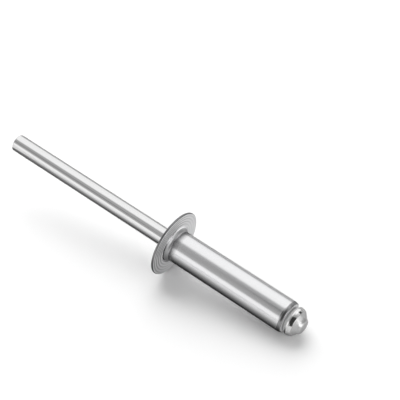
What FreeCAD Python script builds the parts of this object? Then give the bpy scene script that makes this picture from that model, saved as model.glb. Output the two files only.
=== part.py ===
# Open-end blind rivet, 4.8 mm, unset, lying at rest on its flange and on the end of its tail.
#
# Two real pieces: the aluminium rivet body, a cold-headed flanged tube, and the steel
# mandrel, a headed wire drawn through it, with a break notch near its head.
#
# Both are turned forms. Their outlines are drawn in the rivet's own plane as (x, r):
# x runs along the axis towards the tail, from 0 at the flange's underside, and r is
# the radius. They are revolved, and the rivet is then laid down: +Z is up, the axis
# lies over X, and the tail is at +X and a little low. All sizes are in millimetres.

import FreeCAD, Part
import os
from math import asin, atan2, degrees, hypot, radians, sqrt, tan

from FreeCAD import Placement, Rotation, Vector

# Mandrel wire, and its room in the bore
mandrel_diameter = 2.7
mandrel_projection = 29.2    # from the flange's mouth to the mandrel's tip
tip_chamfer = 0.12           # worn edge of the cut at the tip
bore_clearance = 0.1         # radial, between the bore and the wire

# Rivet body
body_diameter = 4.8
body_length = 20.0           # from the flange's underside to the tail
tail_edge_radius = 0.2
flange_diameter = 10.1
flange_rim_thickness = 0.34  # fully rounded at the rim
flange_dome_radius = 13.0
flange_fillet = 0.7          # between the flange's underside and the tube
mouth_diameter = 3.6         # the bore's wide mouth in the flange
mouth_lip_radius = 0.15
mouth_depth = 0.6            # straight part of the mouth, below its lip
mouth_taper = 30.0           # degrees from the axis, from the mouth down to the bore

# Mandrel head, seated in the tail
seat_angle = 41.5            # degrees from the axis, of the cone under the head
seat_width = 0.15            # radial width of the tail's seat for that cone
head_diameter = 4.36
head_length = 2.48           # from the tail to the end of the head
head_band_length = 0.77      # cylindrical band at the head's full diameter
head_band_radius = 0.12      # edge between the cone and the band
head_shoulder_radius = 0.3
head_crown_angle = 49.0      # degrees from the axis, of the conical crown
head_end_radius = 0.42

# Break notch in the mandrel, inside the body
notch_setback = 3.4          # from the tail
notch_diameter = 2.0
notch_flank_angle = 45.0     # degrees from the axis
notch_root_radius = 0.15

mandrel_radius = mandrel_diameter / 2
bore_radius = mandrel_radius + bore_clearance
body_radius = body_diameter / 2
mouth_radius = mouth_diameter / 2
head_radius = head_diameter / 2

# The rim's round, and the dome that is tangent to it, centred on the axis
rim_radius = flange_rim_thickness / 2
rim_centre = (-rim_radius, flange_diameter / 2 - rim_radius)
dome_reach = sqrt((flange_dome_radius - rim_radius) ** 2 - rim_centre[1] ** 2)
dome_centre = (rim_centre[0] + dome_reach, 0)

# The lip's round, tangent to the dome and to the mouth
lip_r = mouth_radius + mouth_lip_radius
lip_reach = sqrt((flange_dome_radius - mouth_lip_radius) ** 2 - lip_r ** 2)
lip_centre = (dome_centre[0] - lip_reach, lip_r)


def unit(start, end):
    """The direction from one point of the plane to another."""
    length = hypot(end[0] - start[0], end[1] - start[1])
    return ((end[0] - start[0]) / length, (end[1] - start[1]) / length)


def beyond(start, along, distance):
    """The point at a distance from start, in the direction of another point."""
    x, r = unit(start, along)
    return (start[0] + x * distance, start[1] + r * distance)


class Outline:
    """A closed outline in the rivet's plane, drawn edge by edge from its first point."""

    def __init__(self, x, r):
        self.at = (x, r)
        self.edges = []

    def add(self, curve, *points):
        self.edges.append(curve(*(Vector(x, 0, r) for x, r in points)).toShape())
        self.at = points[-1]

    def line(self, x, r):
        """A line to a point."""
        self.add(Part.LineSegment, self.at, (x, r))

    def arc(self, centre, end):
        """The shorter arc about a centre, to its end."""
        radius = hypot(end[0] - centre[0], end[1] - centre[1])
        chord_middle = ((self.at[0] + end[0]) / 2, (self.at[1] + end[1]) / 2)
        self.add(Part.Arc, self.at, beyond(centre, chord_middle, radius), end)

    def corner(self, corner, onward, radius):
        """A line that ends in a round at a corner, tangent to the next line, which goes onward."""
        back, ahead = unit(corner, self.at), unit(corner, onward)
        opening = back[0] * ahead[0] + back[1] * ahead[1]
        reach = radius * sqrt((1 + opening) / (1 - opening))
        bisector = (corner[0] + back[0] + ahead[0], corner[1] + back[1] + ahead[1])
        centre = beyond(corner, bisector, radius * sqrt(2 / (1 - opening)))
        self.line(*beyond(corner, self.at, reach))
        self.arc(centre, beyond(corner, onward, reach))

    def revolved(self):
        return Part.Face(Part.Wire(self.edges)).revolve(Vector(), Vector(1, 0, 0), 360)


def seat_x(radius):
    """Where, along the axis, the cone that the head seats on has a given radius."""
    return body_length + (radius - bore_radius - seat_width) / tan(radians(seat_angle))


def rivet_body():
    """The flanged tube: a tail with the head's seat, a domed flange and a wide mouth."""
    mouth_end = lip_centre[0] + mouth_depth
    taper_end = mouth_end + (mouth_radius - bore_radius) / tan(radians(mouth_taper))

    tube = Outline(seat_x(bore_radius), bore_radius)
    tube.line(body_length, bore_radius + seat_width)
    tube.corner((body_length, body_radius), (0, body_radius), tail_edge_radius)
    tube.corner((0, body_radius), (0, rim_centre[1]), flange_fillet)
    tube.line(0, rim_centre[1])
    tube.arc(rim_centre, (rim_centre[0], flange_diameter / 2))
    tube.arc(rim_centre, beyond(dome_centre, rim_centre, flange_dome_radius))
    tube.arc(dome_centre, beyond(dome_centre, lip_centre, flange_dome_radius))
    tube.arc(lip_centre, (lip_centre[0], mouth_radius))
    tube.line(mouth_end, mouth_radius)
    tube.line(taper_end, bore_radius)
    tube.line(seat_x(bore_radius), bore_radius)
    return tube.revolved()


# The head's band starts where its cone is at full size, and its crown rises from the band
band_start = seat_x(head_radius)
band_end = band_start + head_band_length
head_end = body_length + head_length
crown_end_radius = head_radius - (head_end - band_end) * tan(radians(head_crown_angle))


def mandrel():
    """The headed wire: a cut tip, a break notch, and a head with cone, band and crown."""
    tip = lip_centre[0] - mouth_lip_radius - mandrel_projection
    notch = body_length - notch_setback
    notch_depth = (mandrel_diameter - notch_diameter) / 2
    notch_start = notch - notch_depth / tan(radians(notch_flank_angle))
    notch_end = notch + notch_depth / tan(radians(notch_flank_angle))

    wire = Outline(tip, 0)
    wire.line(tip, mandrel_radius - tip_chamfer)
    wire.line(tip + tip_chamfer, mandrel_radius)
    wire.line(notch_start, mandrel_radius)
    wire.corner((notch, notch_diameter / 2), (notch_end, mandrel_radius), notch_root_radius)
    wire.line(notch_end, mandrel_radius)
    wire.line(seat_x(mandrel_radius), mandrel_radius)
    wire.corner((band_start, head_radius), (band_end, head_radius), head_band_radius)
    wire.corner((band_end, head_radius), (head_end, crown_end_radius), head_shoulder_radius)
    wire.corner((head_end, crown_end_radius), (head_end, 0), head_end_radius)
    wire.line(head_end, 0)
    wire.line(tip, 0)
    return wire.revolved()


def tilt_onto(centre, radius):
    """The tilt, in degrees, at which one floor touches the rim's round and another round."""
    length_between = hypot(centre[0] - rim_centre[0], centre[1] - rim_centre[1])
    fall = atan2(rim_centre[1] - centre[1], centre[0] - rim_centre[0])
    return degrees(fall + asin((rim_radius - radius) / length_between))


def laid_down(pieces):
    """The pieces, tipped until the tail or the head rests, centred over the origin."""
    tail_edge = (body_length - tail_edge_radius, body_radius - tail_edge_radius)
    shoulder_reach = head_shoulder_radius * tan(radians(head_crown_angle) / 2)
    shoulder = (band_end - shoulder_reach, head_radius - head_shoulder_radius)
    tilt = min(tilt_onto(tail_edge, tail_edge_radius), tilt_onto(shoulder, head_shoulder_radius))

    tipped = Placement(Vector(), Rotation(Vector(0, 1, 0), tilt))
    for piece in pieces:
        piece.Placement = tipped
    box = Part.Compound(pieces).optimalBoundingBox(False)
    for piece in pieces:
        piece.translate(Vector(-(box.XMin + box.XMax) / 2, 0, -box.ZMin))
    return pieces


os.makedirs("parts", exist_ok=True)
body, wire = laid_down([rivet_body(), mandrel()])
body.exportStep("parts/rivet_body.step")
wire.exportStep("parts/mandrel.step")
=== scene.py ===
"""An unset open-end blind rivet, 4.8 x 20 mm, lying on white paper under soft studio light.

The two pieces come in the order in which the real rivet is put together: the aluminium body is
cold-headed first, and then the headed steel wire is drawn into it from the tail.
"""

import math

import bpy
import numpy as np
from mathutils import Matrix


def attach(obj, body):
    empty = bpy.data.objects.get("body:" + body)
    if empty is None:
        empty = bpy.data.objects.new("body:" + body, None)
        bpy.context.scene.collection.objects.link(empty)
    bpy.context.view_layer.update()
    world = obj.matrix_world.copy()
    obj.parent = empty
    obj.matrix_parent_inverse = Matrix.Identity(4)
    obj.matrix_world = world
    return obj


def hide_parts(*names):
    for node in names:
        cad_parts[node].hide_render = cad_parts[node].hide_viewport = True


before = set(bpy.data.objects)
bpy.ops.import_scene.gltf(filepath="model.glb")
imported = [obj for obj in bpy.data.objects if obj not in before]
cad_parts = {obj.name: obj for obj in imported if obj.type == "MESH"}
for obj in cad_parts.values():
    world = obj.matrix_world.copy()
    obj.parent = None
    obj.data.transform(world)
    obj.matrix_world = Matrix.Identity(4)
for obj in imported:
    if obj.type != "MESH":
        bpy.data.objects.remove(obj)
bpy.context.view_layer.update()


# Rivet body. A tube with a thin domed flange, cold-headed from aluminium-magnesium wire, bored by
# the header's pin, and tumbled bright. The heading die leaves turned rings in the flange's
# underside, and the corner between flange and tube is round. Sizes are in millimetres.

MM = 0.001
REST_TILT = math.radians(7.558192)             # the rivet leans on its flange and its tail
FLANGE_CENTRE = (3.929334, 0.0, 4.985241)      # the middle of the flange's underside, at rest

BODY_RADIUS = 2.4
BODY_LENGTH = 20.0                             # from the flange's underside
BORE_RADIUS = 1.45
BORE_ENDS = (15.0, 14.0)                       # where the body's closed section begins and ends
SEAT_RADIUS = 1.60                             # outer edge of the head's seat in the tail
SEAT_ANGLE = math.radians(41.5)
SEAT_ROUND = 0.04
TAIL_ROUND = 0.2
TAIL_TAPER = 0.11
GROOVE = 19.45                                 # a fine groove round the tube, before its tail
GROOVE_DEPTH = 0.015
GROOVE_REACH = 0.12
GROOVE_ROUND = 0.04

FLANGE_RADIUS = 5.05
FLANGE_FILLET = 0.7
RIM_THICKNESS = 0.34
RIM_ROUND = 0.16
DOME_RADIUS = 13.0
DOME_MARGIN = 0.25                             # between the dome's points and the rim or mouth
DOME_POINTS = 16
MOUTH_RADIUS = 1.8
MOUTH_DEPTH = 0.6
MOUTH_TAPER = math.radians(30)
MOUTH_LIP = 0.15
LIP_ROUND = 0.13
MOUTH_ROUND = 0.08

RINGS_FROM, RINGS_TO = 3.10, 4.88              # radii of the ringed part of the underside
RING_PITCH, RING_DEPTH = 0.445, 0.045
RING_SIDE = math.radians(52)                   # where the rings are deepest
RINGS_FAINTEST = 0.10                          # of their full depth, on the opposite side
RING_POINTS = 72
ROOT_SHADE_FROM, ROOT_SHADE_TO = 0.9, 1.7                  # where the painted shade at the tube's root fades out

ROUND_POINTS = 9
LONGEST_STEP = 0.4                             # between the rings of a long straight side
EASE = np.array([0.02, 0.06, 0.14])            # from the ends of a side to its first rings
EASED_SIDE = 0.3                               # the shortest side that takes them at full size
SHORT_SIDE = 0.25                              # a side below this isn't cut up
SAME_POINT = 1e-6                              # points closer than this are one
SIDES = 256                                    # faces round a turned piece


def rounded_outline(corners):
    """An outline through (x, r, radius) corners, as an array of (x, r) points.

    A corner with a radius becomes an arc tangent to both of its sides. The arc starts at
    radius / tan(half of the inner angle) from the corner, and its centre lies on the bisector at
    radius / sin(half of the inner angle). A straight side is cut up by points whose spacing grows
    from its two ends, so that a smooth shade stays in the arcs.
    """
    corners = np.array(corners, float)
    arcs = []
    for before, here, after in zip(corners[:-2], corners[1:-1], corners[2:]):
        if here[2] == 0:
            arcs.append(here[None, :2])
            continue
        back = (before - here)[:2] / np.linalg.norm((before - here)[:2])
        ahead = (after - here)[:2] / np.linalg.norm((after - here)[:2])
        half = 0.5 * math.acos(np.clip(back @ ahead, -1, 1))
        reach = here[2] / math.tan(half)
        bisector = (back + ahead) / np.linalg.norm(back + ahead)
        centre = here[:2] + bisector * here[2] / math.sin(half)
        first, last = here[:2] + back * reach - centre, here[:2] + ahead * reach - centre
        turn = np.linspace(0, 1, ROUND_POINTS)[:, None]
        chord = first * (1 - turn) + last * turn
        arcs.append(centre + chord / np.linalg.norm(chord, axis=1)[:, None] * here[2])
    points = [corners[:1, :2]]
    for arc in arcs + [corners[-1:, :2]]:
        start, end = points[-1][-1], arc[0]
        length = np.linalg.norm(end - start)
        if length > SHORT_SIDE:
            ease = EASE / max(length, EASED_SIDE)
            inner = np.linspace(ease[-1], 1 - ease[-1], max(2, int(length / LONGEST_STEP)))
            stops = np.concatenate([ease[:-1], inner, 1 - ease[-2::-1]])
            points.append(start + (end - start) * stops[:, None])
        points.append(arc)
    points = np.concatenate(points)
    apart = np.linalg.norm(np.diff(points, axis=0), axis=1) > SAME_POINT
    return points[np.append(True, apart)]


def body_outline():
    """The body's section, from the bore, over the mouth, the dome and the tube, to the tail.

    It is drawn from the tail on, and turned round at the end, so that the faces point outwards.
    The dome is an arc about the axis: x is the centre less the root of radius squared less r squared.
    """
    seat_depth = (SEAT_RADIUS - BORE_RADIUS) / math.tan(SEAT_ANGLE)
    rings = [(0, r, 0) for r in np.linspace(RINGS_FROM, RINGS_TO, RING_POINTS)[1:-1]]
    dome_centre = -RIM_THICKNESS + math.sqrt(DOME_RADIUS ** 2 - FLANGE_RADIUS ** 2)
    radii = np.linspace(FLANGE_RADIUS - DOME_MARGIN, MOUTH_RADIUS + DOME_MARGIN, DOME_POINTS)
    dome = [(dome_centre - math.sqrt(DOME_RADIUS ** 2 - r * r), r, 0) for r in radii]
    lip = dome_centre - math.sqrt(DOME_RADIUS ** 2 - MOUTH_RADIUS ** 2)
    mouth_floor = lip + MOUTH_DEPTH + MOUTH_LIP
    bore_start = mouth_floor + (MOUTH_RADIUS - BORE_RADIUS) / math.tan(MOUTH_TAPER)
    return rounded_outline([
        (BORE_ENDS[0], BORE_RADIUS, 0),
        (BODY_LENGTH - seat_depth, BORE_RADIUS, 0),
        (BODY_LENGTH, SEAT_RADIUS, SEAT_ROUND),
        (BODY_LENGTH, BODY_RADIUS - TAIL_TAPER, TAIL_ROUND),
        (GROOVE + GROOVE_REACH, BODY_RADIUS, TAIL_ROUND),
        (GROOVE, BODY_RADIUS - GROOVE_DEPTH, GROOVE_ROUND),
        (GROOVE - GROOVE_REACH, BODY_RADIUS, GROOVE_ROUND),
        (0, BODY_RADIUS, FLANGE_FILLET),
        (0, RINGS_FROM, 0),
        *rings,
        (0, RINGS_TO, 0),
        (0, FLANGE_RADIUS, RIM_ROUND),
        (-RIM_THICKNESS, FLANGE_RADIUS, RIM_ROUND),
        *dome,
        (lip, MOUTH_RADIUS, LIP_ROUND),
        (mouth_floor, MOUTH_RADIUS, MOUTH_ROUND),
        (bore_start, BORE_RADIUS, MOUTH_ROUND),
        (BORE_ENDS[1], BORE_RADIUS, 0),
    ])[::-1]


def turned_grid(outline):
    """The outline's x and r, and the angle, as grids of rings by points round the axis."""
    angle = np.linspace(0, 2 * math.pi, SIDES, endpoint=False)
    x, angles = np.meshgrid(outline[:, 0], angle, indexing="ij")
    return x, np.repeat(outline[:, 1:], SIDES, axis=1), angles


def die_rings(x, r, angle):
    """How deep the heading die's turned rings are in the flange's underside.

    The depth is the square of a raised cosine of r, and nothing outside the ringed part. It also
    falls from its full size on one side, by the square of a raised cosine of the angle, to the
    faintest on the opposite side.
    """
    ringed = (r > RINGS_FROM) & (r < RINGS_TO) & (np.abs(x) < SAME_POINT)
    side = RINGS_FAINTEST + (1 - RINGS_FAINTEST) * (0.5 + 0.5 * np.cos(angle - RING_SIDE)) ** 2
    wave = 0.5 - 0.5 * np.cos(2 * math.pi * (r - RINGS_FROM) / RING_PITCH)
    return RING_DEPTH * ringed * side * wave ** 2


def laid_down(x, r, angle):
    """Points of a turned surface, in the frame that the rivet lies in, in metres.

    x runs along the rivet's own axis, r is the distance from it, and the angle turns from the
    side that is up, towards -Y. The axis is tipped about Y by the tilt of the rivet at rest.
    """
    across, up = -r * np.sin(angle), r * np.cos(angle)
    c, s = math.cos(REST_TILT), math.sin(REST_TILT)
    points = np.stack([x * c + up * s, across, up * c - x * s], axis=-1)
    return (points + np.array(FLANGE_CENTRE)) * MM


def skin(name, points, closed):
    """A mesh on a grid of points: rings along the outline, by points round the axis.

    Four neighbours make a face. A closed outline joins its last ring to its first. An open one
    begins and ends on the axis, where a whole ring is one point and its faces are triangles.
    """
    rings, sides = points.shape[:2]
    number = np.arange(rings * sides).reshape(rings, sides)
    vertices = points.reshape(-1, 3)
    if closed:
        number = np.vstack([number, number[:1]])
    else:
        number = np.clip(number - (sides - 1), 0, (rings - 2) * sides + 1)
        vertices = vertices[sides - 1:1 - sides]
    around = np.roll(number, -1, axis=1)
    quads = np.stack([number[:-1], around[:-1], around[1:], number[1:]], axis=-1)
    if closed:
        faces = quads.reshape(-1, 4).tolist()
    else:
        first, last = quads[0][:, [0, 2, 3]], quads[-1][:, [0, 1, 2]]
        faces = first.tolist() + quads[1:-1].reshape(-1, 4).tolist() + last.tolist()
    mesh = bpy.data.meshes.new(name)
    mesh.from_pydata(vertices, [], faces)
    mesh.polygons.foreach_set("use_smooth", np.ones(len(faces), bool))
    mesh.update()
    piece = bpy.data.objects.new(name, mesh)
    bpy.context.scene.collection.objects.link(piece)
    return piece


body_x, body_r, body_angle = turned_grid(body_outline())
rings = die_rings(body_x, body_r, body_angle)
tube = skin("flanged_tube", laid_down(body_x - rings, body_r, body_angle), closed=True)

# How much painted shade the tube's root takes, as a smooth step along the tube, and how much painted shade
# the rings take
way = np.clip((ROOT_SHADE_TO - body_x) / (ROOT_SHADE_TO - ROOT_SHADE_FROM), 0, 1) * (body_x > 0)
for name, level in (("dulled", 3 * way ** 2 - 2 * way ** 3), ("soiled", rings / RING_DEPTH)):
    tube.data.attributes.new(name, "FLOAT", "POINT").data.foreach_set("value", level.ravel())


def linear(colour):
    """An sRGB hex colour, as the linear values that a shader takes."""
    srgb = np.array([int(colour[k:k + 2], 16) for k in (1, 3, 5)]) / 255
    return (*np.where(srgb <= 0.04045, srgb / 12.92, ((srgb + 0.055) / 1.055) ** 2.4), 1.0)


def add_node(material, kind, links=(), **settings):
    """Adds a node to a material or a world.

    A setting is one of the node's own, or else the value of the socket with that name, where _
    stands for a space. A link comes from (node, output) into this node's input.
    """
    node = material.node_tree.nodes.new(kind)
    for name, value in settings.items():
        if hasattr(node, name):
            setattr(node, name, value)
        else:
            node.inputs[name.replace("_", " ")].default_value = value
    for source, output, target in links:
        material.node_tree.links.new(source.outputs[output], node.inputs[target])
    return node


def bare_material(name):
    """A material without any nodes."""
    material = bpy.data.materials.new(name)
    material.use_nodes = True
    material.node_tree.nodes.clear()
    return material


def worn_metal(name, colour, roughness, grain, depth, stretch=1.0, metallic=1.0):
    """A bare metal with a fine worn relief, of a grain and a depth in millimetres.

    The grain is longer along the rivet's axis by a stretch, and several times as coarse as the
    real one, which is too fine to show. A skin of oxide and handling greys the sheen at a glancing
    angle, and where it is thick and matt, the metal is less than 1 metallic.
    """
    material = bare_material(name)
    where = add_node(material, "ShaderNodeTexCoord")
    along = add_node(material, "ShaderNodeMapping", [(where, "Object", "Vector")],
                     Rotation=(0, -REST_TILT, 0), Scale=(1 / stretch, 1, 1))
    relief = add_node(material, "ShaderNodeTexNoise", [(along, 0, "Vector")],
                      Scale=1 / (grain * MM), Detail=3.0, Roughness=0.6)
    bump = add_node(material, "ShaderNodeBump", [(relief, 0, "Height")], Strength=1.0, Distance=depth * MM)
    metal = add_node(material, "ShaderNodeBsdfPrincipled", [(bump, 0, "Normal")], Base_Color=linear(colour),
                     Roughness=roughness, Metallic=metallic, Specular_Tint=linear("#A0A0A0"))
    add_node(material, "ShaderNodeOutputMaterial", [(metal, 0, "Surface")])
    return material


def darkened(material, level, darkest):
    """Takes a metal's colour to its darkest, by an attribute of the mesh from 0 to 1."""
    base = material.node_tree.nodes["Principled BSDF"].inputs["Base Color"]
    read = add_node(material, "ShaderNodeAttribute", attribute_name=level)
    shades = add_node(material, "ShaderNodeValToRGB", [(read, "Fac", "Fac")])
    shades.color_ramp.elements[0].color = base.default_value
    shades.color_ramp.elements[1].color = linear(darkest)
    material.node_tree.links.new(shades.outputs["Color"], base)


# Aluminium tumbled with media: smooth and bright, with soft-edged reflections. Its colour is greyer at the
# tube's root, next to the flange: painted shade in the corner between tube and flange.
tumbled = worn_metal("tumbled_aluminium", "#CDCDCE", 0.21, grain=0.7, depth=0.005, stretch=1.6)
darkened(tumbled, "dulled", "#969697")

# Aluminium coined by the die's matt face: pale and nearly matt. The dark colour down in the rings is
# painted shade, darkest on the side where the rings are deepest
coined = worn_metal("coined_aluminium", "#DEDEDF", 0.42, grain=0.12, depth=0.001, metallic=0.3)
darkened(coined, "soiled", "#545455")

# Aluminium cropped off and crushed a little at the tail: a darker band than the tube
cropped = worn_metal("cropped_aluminium", "#8E8E8F", 0.30, grain=0.15, depth=0.002)

# Aluminium squeezed into the die's corner, between flange and tube: a matt grey, darker than the tube,
# whose darker colour is painted shade in that corner
corner = worn_metal("shaded_corner_aluminium", "#ACACAD", 0.40, grain=0.2, depth=0.0008, metallic=0.65)
# A lighter, smoother arc on the corner's outer part: its lighter colour is a painted highlight, the glint
# along the corner
highlight_arc = worn_metal("painted_highlight_arc", "#E8E8E9", 0.16, grain=0.2, depth=0.0004)

# The flange's rim: a thin dark line round the flange, which is painted shade along its edge
rim = worn_metal("painted_dark_rim", "#7C7C7D", 0.30, grain=0.2, depth=0.0008)

BODY_LOOKS = [tumbled, coined, cropped, corner, rim, highlight_arc]
CORNER_FROM = BODY_RADIUS + 0.01               # radii where the looks of the flange change
HIGHLIGHT_ARC_FROM = BODY_RADIUS + 0.28
COINED_FROM = BODY_RADIUS + 0.58
RIM_FROM = FLANGE_RADIUS - 0.09
UNDERSIDE = -0.02                              # all of the underside lies beyond this x
END_FROM = BODY_LENGTH - 0.1                   # the tail's end lies beyond this x
END_TO = BODY_RADIUS - 0.2                     # and within this radius

middle_x, middle_r = ((line + np.roll(line, -1)) / 2 for line in (body_x[:, 0], body_r[:, 0]))
under = middle_x > UNDERSIDE
on_end = (middle_x > END_FROM) & (middle_r < END_TO)
look = np.select(
    [middle_r > RIM_FROM, (under & (middle_r > COINED_FROM)) | on_end, middle_x > GROOVE,
     under & (middle_r > HIGHLIGHT_ARC_FROM), under & (middle_r > CORNER_FROM)],
    [BODY_LOOKS.index(metal) for metal in (rim, coined, cropped, highlight_arc, corner)],
    BODY_LOOKS.index(tumbled))
for metal in BODY_LOOKS:
    tube.data.materials.append(metal)
tube.data.polygons.foreach_set("material_index", np.repeat(look, SIDES))

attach(tube, "root")
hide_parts("rivet_body")


# Mandrel. Drawn steel wire, zinc plated, with a head forged on its end: a cone that seats in the
# tail, a band and a conical crown. Two dies pinch a notch behind the head, where it will break,
# and the other end is cropped square.

WIRE_RADIUS = 1.35
TIP = -30.3555                                 # x of the cropped end
TIP_ROUND = 0.1
NOTCH = BODY_LENGTH - 3.4
NOTCH_DEPTH = 0.35
NOTCH_EDGE_ROUND = 0.05
NOTCH_ROOT_ROUND = 0.15

HEAD_RADIUS = 2.18
BAND_START = BODY_LENGTH + (HEAD_RADIUS - SEAT_RADIUS) / math.tan(SEAT_ANGLE)
BAND_END = BAND_START + 0.77
HEAD_END = BODY_LENGTH + 2.48
CROWN_ANGLE = math.radians(49)
NECK_ROUND = 0.1

# Corners of the head that depart a little from the plain cone, band and crown: how far along from
# the named point, how far out, and the round
CONE_EDGE = (-0.04, -0.035, 0.1)
BAND_CREST = (0.15, 0.0, 0.25)
BAND_FALL = (0.42, -0.045, 0.5)
BAND_EDGE = (0.0, -0.16, 0.12)
CROWN_HOLLOW = (-0.48, 0.39, 0.8)
CROWN_EDGE = (0.0, 0.03, 0.42)


def mandrel_outline():
    """The mandrel's section, from the middle of its tip to the middle of its head."""
    wire_end = BAND_START - (HEAD_RADIUS - WIRE_RADIUS) / math.tan(SEAT_ANGLE)
    crown_end = HEAD_RADIUS - (HEAD_END - BAND_END) * math.tan(CROWN_ANGLE)
    return rounded_outline([
        (TIP, 0, 0),
        (TIP, WIRE_RADIUS, TIP_ROUND),
        (NOTCH - NOTCH_DEPTH, WIRE_RADIUS, NOTCH_EDGE_ROUND),
        (NOTCH, WIRE_RADIUS - NOTCH_DEPTH, NOTCH_ROOT_ROUND),
        (NOTCH + NOTCH_DEPTH, WIRE_RADIUS, NOTCH_EDGE_ROUND),
        (wire_end, WIRE_RADIUS, NECK_ROUND),
        np.add((BAND_START, HEAD_RADIUS, 0), CONE_EDGE),
        np.add((BAND_START, HEAD_RADIUS, 0), BAND_CREST),
        np.add((BAND_START, HEAD_RADIUS, 0), BAND_FALL),
        np.add((BAND_END, HEAD_RADIUS, 0), BAND_EDGE),
        np.add((HEAD_END, crown_end, 0), CROWN_HOLLOW),
        np.add((HEAD_END, crown_end, 0), CROWN_EDGE),
        (HEAD_END, 0, 0),
    ])


# The forging dies' hollows in the crown: x, radius and angle of the middle, width and depth
CROWN_MARKS = [
    (21.75, 1.75, 40, 0.34, 0.020), (22.00, 1.42, 62, 0.26, 0.020), (21.70, 1.80, 70, 0.30, 0.012),
    (22.10, 1.30, 5, 0.45, 0.022), (22.30, 1.00, 110, 0.40, 0.020), (22.20, 1.15, -50, 0.50, 0.030),
    (21.90, 1.50, -120, 0.50, 0.030), (22.00, 1.40, 170, 0.50, 0.030), (22.48, 0.20, 60, 0.35, 0.012),
    (22.05, 1.37, 50, 0.07, 0.020), (22.02, 1.40, 68, 0.07, 0.020),
]


def pressed(x, r, angle, marks):
    """The head's grids with small hollows from the forging dies in them.

    Each hollow lowers the surface by its depth times e to the power of minus the squared distance
    from its middle over its squared width. The way down is along the crown's own inward normal.
    """
    surface = np.stack([x, -r * np.sin(angle), r * np.cos(angle)], axis=-1)[..., None, :]
    mark_x, mark_r, turn, width, depth = np.array(marks).T
    turn = np.radians(turn)
    middles = np.stack([mark_x, -mark_r * np.sin(turn), mark_r * np.cos(turn)], axis=-1)
    squared = np.sum((surface - middles) ** 2, axis=-1)
    drop = np.sum(depth * np.exp(-squared / width ** 2), axis=-1)
    return x - drop * math.cos(CROWN_ANGLE), r - drop * math.sin(CROWN_ANGLE), angle


wire_grid = pressed(*turned_grid(mandrel_outline()), CROWN_MARKS)
wire = skin("headed_wire", laid_down(*wire_grid), closed=False)

# Zinc plating on drawn wire: bright and sharp, with a faint grain along the wire
plated = worn_metal("zinc_plated_steel", "#CBCBCB", 0.14, grain=0.6, depth=0.0035, stretch=3.0)

# The same plating on the forged crown: greyer, over the dies' uneven marks, with a broken glint
crowned = worn_metal("forged_steel_crown", "#B2B2B2", 0.20, grain=0.45, depth=0.010, metallic=0.55)

# The cone under the head, rubbed by the tail: pale and nearly matt
seated = worn_metal("forged_steel_cone", "#CECECE", 0.40, grain=0.2, depth=0.002, metallic=0.4)

# The cropped tip: matt and rough, torn across the grain
sheared = worn_metal("cropped_steel", "#A8A8A8", 0.42, grain=0.16, depth=0.006)

WIRE_LOOKS = [plated, crowned, seated, sheared]
CUT_TO = TIP + 0.04                            # where the looks change along the axis
CONE_FROM = BODY_LENGTH - 0.1
CONE_TO = BAND_START - 0.06

centres = np.empty(len(wire.data.polygons) * 3)
wire.data.polygons.foreach_get("center", centres)
axis = (math.cos(REST_TILT), 0, -math.sin(REST_TILT))
centre_x = (centres.reshape(-1, 3) / MM - FLANGE_CENTRE) @ axis
on_cone = (centre_x > CONE_FROM) & (centre_x < CONE_TO)
look = np.select([centre_x > BAND_END, on_cone, centre_x < CUT_TO],
                 [WIRE_LOOKS.index(metal) for metal in (crowned, seated, sheared)],
                 WIRE_LOOKS.index(plated))
for metal in WIRE_LOOKS:
    wire.data.materials.append(metal)
wire.data.polygons.foreach_set("material_index", look)

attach(wire, "root")
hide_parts("mandrel")


# Table. A sheet of matt white paper that fills the view and takes the rivet's shadow. It is made
# as one square, with the rivet over its middle.

TABLE_REACH = 1.5

table_mesh = bpy.data.meshes.new("table")
table_corners = [(x, y, 0) for x, y in ((-1, -1), (1, -1), (1, 1), (-1, 1))]
table_mesh.from_pydata(np.array(table_corners) * TABLE_REACH, [], [(0, 1, 2, 3)])
table = bpy.data.objects.new("table", table_mesh)
bpy.context.scene.collection.objects.link(table)

# Uncoated paper: bright, and the same from all sides
paper = bare_material("matt_paper")
matt = add_node(paper, "ShaderNodeBsdfDiffuse", Color=linear("#FCFCFC"))
add_node(paper, "ShaderNodeOutputMaterial", [(matt, 0, "Surface")])
table_mesh.materials.append(paper)


# Soft boxes. A large one, high behind the rivet, casts its shadow to the front, and two small ones,
# in front and to the right, light the flange's underside and the head. They light the paper and
# the matt skins only: the cards below stand for them in the metal.

def toward(azimuth, elevation):
    """The direction from the rivet at an azimuth (0 is -Y, 90 is +X) and an elevation in degrees."""
    turn, climb = math.radians(azimuth), math.radians(elevation)
    return np.array([math.cos(climb) * math.sin(turn), -math.cos(climb) * math.cos(turn), math.sin(climb)])


def soft_box(name, azimuth, elevation, width, height, radiance, distance=0.6):
    """A rectangular area lamp, aimed at the rivet. A radiance of 1 lights as white paper does."""
    lamp = bpy.data.lights.new(name, "AREA")
    lamp.shape = "RECTANGLE"
    lamp.size = width
    lamp.size_y = height
    lamp.energy = radiance * math.pi * width * height
    holder = bpy.data.objects.new(name, lamp)
    holder.location = distance * toward(azimuth, elevation)
    holder.rotation_euler = (math.radians(90 - elevation), 0, math.radians(azimuth))
    holder.visible_camera = False
    holder.visible_glossy = False
    bpy.context.scene.collection.objects.link(holder)


soft_box("key_box", azimuth=228, elevation=45, width=0.75, height=0.75, radiance=2.7)
soft_box("front_box", azimuth=-20, elevation=15, width=0.5, height=0.33, radiance=1.25)
soft_box("right_box", azimuth=66, elevation=24, width=0.3, height=0.25, radiance=2.4)


# Cards. The bands along the tube and the patches on the head are what bright metal shows of the
# studio: lit cloth about where the soft boxes are, and dark cloth between them. Each card has a
# radiance at each point, and is seen only in the metal.

ROOM = 0.58                                    # radiance of the room between the cards
CARD_DISTANCE = 0.5
CARD_POINTS = 33

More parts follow.
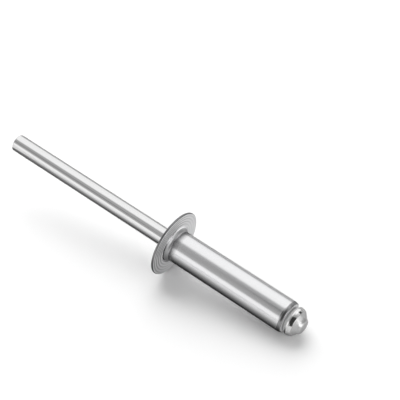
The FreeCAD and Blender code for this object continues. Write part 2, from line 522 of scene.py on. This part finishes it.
# Cloth lit from behind: it glows evenly, as bright as each point of a card says
card_cloth = bare_material("card_cloth")
card_level = add_node(card_cloth, "ShaderNodeAttribute", attribute_name="radiance")
glow = add_node(card_cloth, "ShaderNodeEmission", [(card_level, "Fac", "Strength")])
add_node(card_cloth, "ShaderNodeOutputMaterial", [(glow, 0, "Surface")])


def card(name, points, radiance):
    """A card on a grid of points, with a radiance at each."""
    rows, columns = radiance.shape
    number = np.arange(rows * columns).reshape(rows, columns)
    faces = np.stack([number[:-1, :-1], number[1:, :-1], number[1:, 1:], number[:-1, 1:]], axis=-1)
    sheet = bpy.data.meshes.new(name)
    sheet.from_pydata(points.reshape(-1, 3), [], faces.reshape(-1, 4).tolist())
    sheet.attributes.new("radiance", "FLOAT", "POINT").data.foreach_set("value", radiance.ravel())
    sheet.materials.append(card_cloth)
    holder = bpy.data.objects.new(name, sheet)
    for ray in ("camera", "diffuse", "shadow", "transmission", "volume_scatter"):
        setattr(holder, "visible_" + ray, False)
    bpy.context.scene.collection.objects.link(holder)


def aimed_card(name, azimuth, elevation, width, height, radiance, soft=0.25):
    """A card that faces the rivet, with its width and height in degrees, and soft edges.

    The radiance falls to the room's over the soft part of each half, as a smooth step: with the
    way left to the edge as u, from 0 to 1, it's 3 u squared less 2 u cubed.
    """
    ahead = toward(azimuth, elevation)
    side = np.array([math.cos(math.radians(azimuth)), math.sin(math.radians(azimuth)), 0])
    up = np.cross(ahead, side)
    steps = np.linspace(-1, 1, CARD_POINTS)
    across, along = np.meshgrid(steps, steps)
    half_width, half_height = (math.tan(math.radians(size / 2)) for size in (width, height))
    points = ahead + across[..., None] * half_width * side + along[..., None] * half_height * up
    u = np.clip((1 - np.abs(np.stack([across, along]))) / soft, 0, 1)
    falloff = np.prod(3 * u ** 2 - 2 * u ** 3, axis=0)
    card(name, CARD_DISTANCE * points, ROOM + (radiance - ROOM) * falloff)


aimed_card("key_card", azimuth=204, elevation=52, width=80, height=84, radiance=1.45, soft=0.36)
aimed_card("front_card", azimuth=-20, elevation=13, width=48, height=34, radiance=1.45, soft=0.4)
aimed_card("camera_card", azimuth=32, elevation=36, width=52, height=76, radiance=0.05, soft=0.15)
aimed_card("back_right_card", azimuth=150, elevation=27, width=24, height=36, radiance=0.0, soft=0.15)
aimed_card("band_card", azimuth=160, elevation=60, width=30, height=26, radiance=1.6)
aimed_card("lens_card", azimuth=-34, elevation=47, width=16, height=10, radiance=0.3, soft=0.4)
aimed_card("right_card", azimuth=80, elevation=10, width=52, height=36, radiance=3.6)
aimed_card("right_back_card", azimuth=114, elevation=3, width=22, height=14, radiance=2.2)

# A painted shade, seen only in the metal: a dark sheet on the floor, close before the rivet, that stands in
# for the shade there in the metal's reflection. Its columns stand along the rivet, and its rows go forward
# in steps of the axis's height there, from black to the light of the table. The least radiance is that of
# its near edge, by the wire and by the tube.
SHADE_STRIP_X = np.array([-36.0, -16.0, 4.0, 23.8])
SHADE_STRIP_LEAST = np.array([0.14, 0.14, 0.0, 0.0])
SHADE_STRIP_STEPS = np.array([0, 0.4, 0.9, 1.5, 2.2, 3.2, 4.5])[:, None]
SHADE_STRIP_LEVELS = np.array([0.0, 0.06, 0.24, 0.46, 0.72, 1.0, 1.25])[:, None]
SHADE_STRIP_START = 1.5
SHADE_STRIP_HEIGHT = 0.2

axis_height = FLANGE_CENTRE[2] - (SHADE_STRIP_X - FLANGE_CENTRE[0]) * math.tan(REST_TILT)
shade_strip_y = -(SHADE_STRIP_START + SHADE_STRIP_STEPS * axis_height)
shade_strip = np.stack(np.broadcast_arrays(SHADE_STRIP_X, shade_strip_y, SHADE_STRIP_HEIGHT), axis=-1) * MM
card("painted_shade_strip", shade_strip, SHADE_STRIP_LEVELS + SHADE_STRIP_LEAST * (1 - SHADE_STRIP_LEVELS / SHADE_STRIP_LEVELS.max()))


# Room. Grey walls all round, which fill the shadows. The eye and the metal see them lighter than
# they light the paper.

FILL = 0.40                                    # radiance with which the room lights the paper

room = bpy.data.worlds.new("grey_room")
room.use_nodes = True
walls = room.node_tree.nodes["Background"]
walls.inputs["Color"].default_value = linear("#FFFFFF")
rays = add_node(room, "ShaderNodeLightPath")
direct = add_node(room, "ShaderNodeMath", [(rays, "Is Camera Ray", 0), (rays, "Is Glossy Ray", 1)],
                  operation="ADD")
seen = add_node(room, "ShaderNodeMath", [(direct, 0, 0), (rays, "Is Transmission Ray", 1)],
                operation="ADD")
wall_level = add_node(room, "ShaderNodeMath", [(seen, 0, 0)], operation="MULTIPLY_ADD")
wall_level.inputs[1].default_value = ROOM - FILL
wall_level.inputs[2].default_value = FILL
room.node_tree.links.new(wall_level.outputs[0], walls.inputs["Strength"])
bpy.context.scene.world = room


# Camera. A long lens at the photograph's viewing angle, 0.19 m from the rivet. Its place is in
# metres, and its angles are in degrees.

VIEW_FROM = (0.08598, -0.10245, 0.12828)
VIEW_AZIMUTH = 37.14
VIEW_ELEVATION = 41.21

lens = bpy.data.cameras.new("view")
lens.lens = 113.5
lens.sensor_width = 36
lens.clip_start = 0.01
camera = bpy.data.objects.new("view", lens)
camera.location = VIEW_FROM
camera.rotation_euler = (math.radians(90 - VIEW_ELEVATION), 0, math.radians(VIEW_AZIMUTH))
bpy.context.scene.collection.objects.link(camera)
bpy.context.scene.camera = camera
bpy.context.scene.view_settings.view_transform = "Standard"
